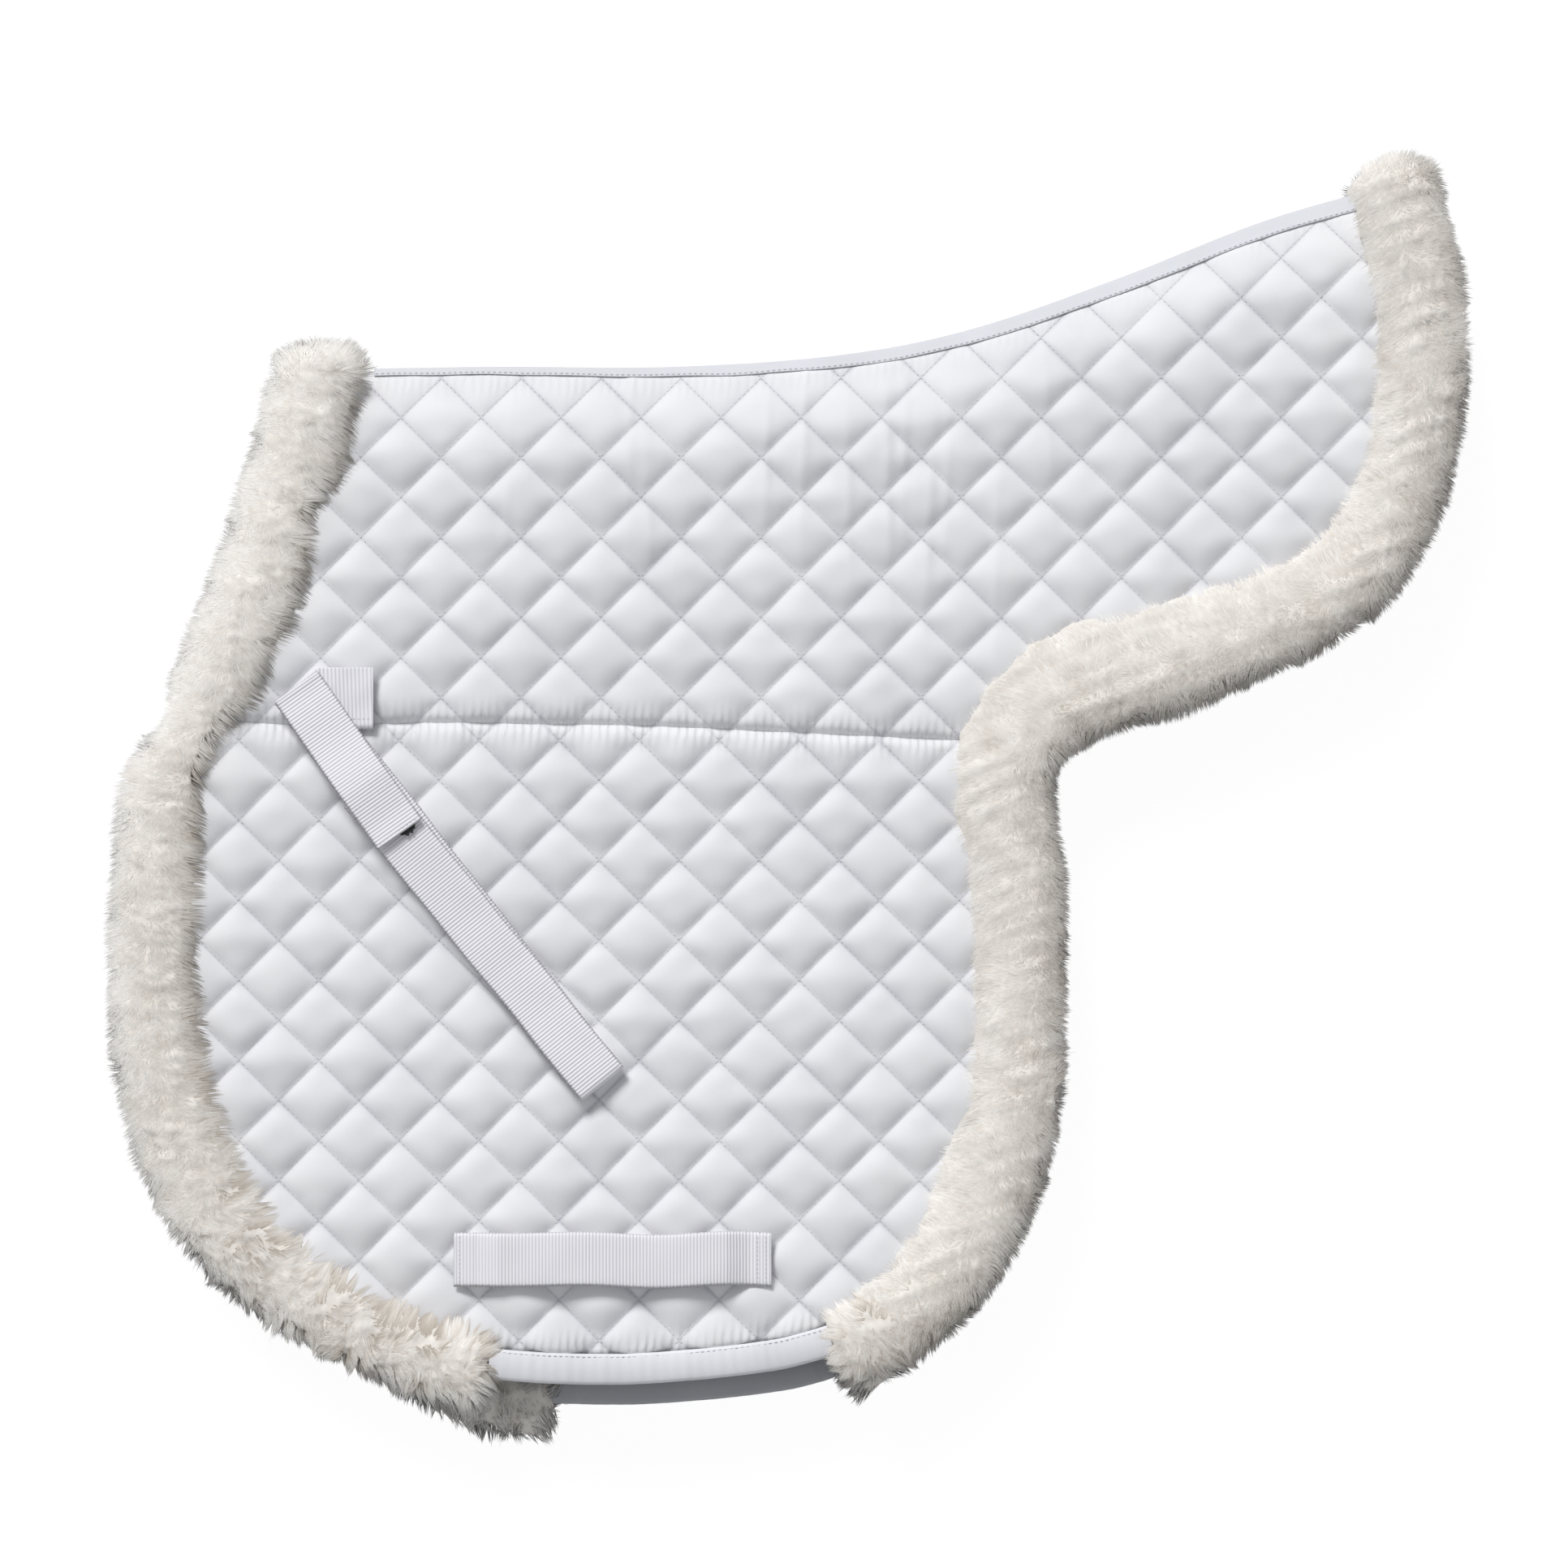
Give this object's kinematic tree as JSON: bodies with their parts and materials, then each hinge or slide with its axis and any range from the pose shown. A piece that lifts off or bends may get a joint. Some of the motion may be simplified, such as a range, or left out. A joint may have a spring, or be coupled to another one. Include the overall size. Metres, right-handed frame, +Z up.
{
  "type": "saddle pad",
  "caption": "Quilted hunter saddle pad with fleece-rolled front and rear edges, folded along its spine, with peel-open billet straps and girth keepers.",
  "frame": {"origin": "centre of the folded pad's footprint, on the surface it lies on", "axes": "+X towards the horse's tail, +Y towards the spine, +Z up through the folded pad, from its off side to its near side"},
  "size_m": [0.7332, 0.6999, 0.0664],
  "materials": {
    "cotton": "quilted white cotton twill and bias binding",
    "wadding": "polyester wadding, inside",
    "fleece": "warm off-white deep pile fleece",
    "webbing": "white ribbed webbing",
    "hook_tape": "black hook tape"
  },
  "bodies": {
    "off_side": {"off_seat_cover": "cotton", "off_seat_wadding": "wadding", "off_seat_lining": "cotton", "off_flap_cover": "cotton", "off_flap_wadding": "wadding", "off_flap_lining": "cotton", "off_front_fleece": "fleece", "off_rear_fleece": "fleece", "off_bottom_binding": "cotton", "off_girth_keeper": "webbing", "off_keeper_front_tack": "webbing", "off_keeper_rear_tack": "webbing", "off_strap_under": "webbing", "off_strap_anchor": "webbing", "off_anchor_tack": "webbing", "near_spine_cover": "cotton", "near_spine_wadding": "wadding", "near_spine_lining": "cotton", "spine_binding": "cotton", "near_withers_fleece": "fleece", "near_cantle_fleece": "fleece"},
    "near_side": {"near_seat_cover": "cotton", "near_seat_wadding": "wadding", "near_seat_lining": "cotton", "near_flap_cover": "cotton", "near_flap_wadding": "wadding", "near_flap_lining": "cotton", "near_front_fleece": "fleece", "near_rear_fleece": "fleece", "near_bottom_binding": "cotton", "near_girth_keeper": "webbing", "near_keeper_front_tack": "webbing", "near_keeper_rear_tack": "webbing", "near_strap_under": "webbing", "near_strap_anchor": "webbing", "near_anchor_tack": "webbing"},
    "near_strap_tab": {"near_closure_tab": "webbing", "near_hook_tape": "hook_tape"},
    "near_strap_loop": {"near_strap_loop": "webbing", "near_loop_tape": "webbing"},
    "off_strap_tab": {"off_closure_tab": "webbing", "off_hook_tape": "hook_tape"},
    "off_strap_loop": {"off_strap_loop": "webbing", "off_loop_tape": "webbing"}
  },
  "joints": [
    {"name": "spine_fold", "type": "hinge", "parent": "off_side", "child": "near_side", "pos_m": [0.03437, 0.18248, 0.0553], "axis": [-0.9855, -0.1695, 0], "range_deg": [0, 90]},
    {"name": "near_tab_peel", "type": "hinge", "parent": "near_side", "child": "near_strap_tab", "pos_m": [-0.26343, 0.06048, 0.05805], "axis": [-0.8168, -0.5769, 0], "range_deg": [0, 100]},
    {"name": "near_loop_lift", "type": "hinge", "parent": "near_side", "child": "near_strap_loop", "pos_m": [-0.09913, -0.15232, 0.0608], "axis": [0.7776, 0.6287, 0], "range_deg": [0, 33]},
    {"name": "off_tab_peel", "type": "hinge", "parent": "off_side", "child": "off_strap_tab", "pos_m": [-0.26343, 0.06048, 0.00835], "axis": [0.8168, 0.5769, 0], "range_deg": [0, 100]},
    {"name": "off_loop_lift", "type": "hinge", "parent": "off_side", "child": "off_strap_loop", "pos_m": [-0.09697, -0.15849, 0.0056], "axis": [-0.7776, -0.6287, 0], "range_deg": [0, 33]}
  ],
  "couplings": [
    {"joint": "near_loop_lift", "follows": "near_tab_peel", "ratio": 0.3},
    {"joint": "off_loop_lift", "follows": "off_tab_peel", "ratio": 0.3}
  ]
}
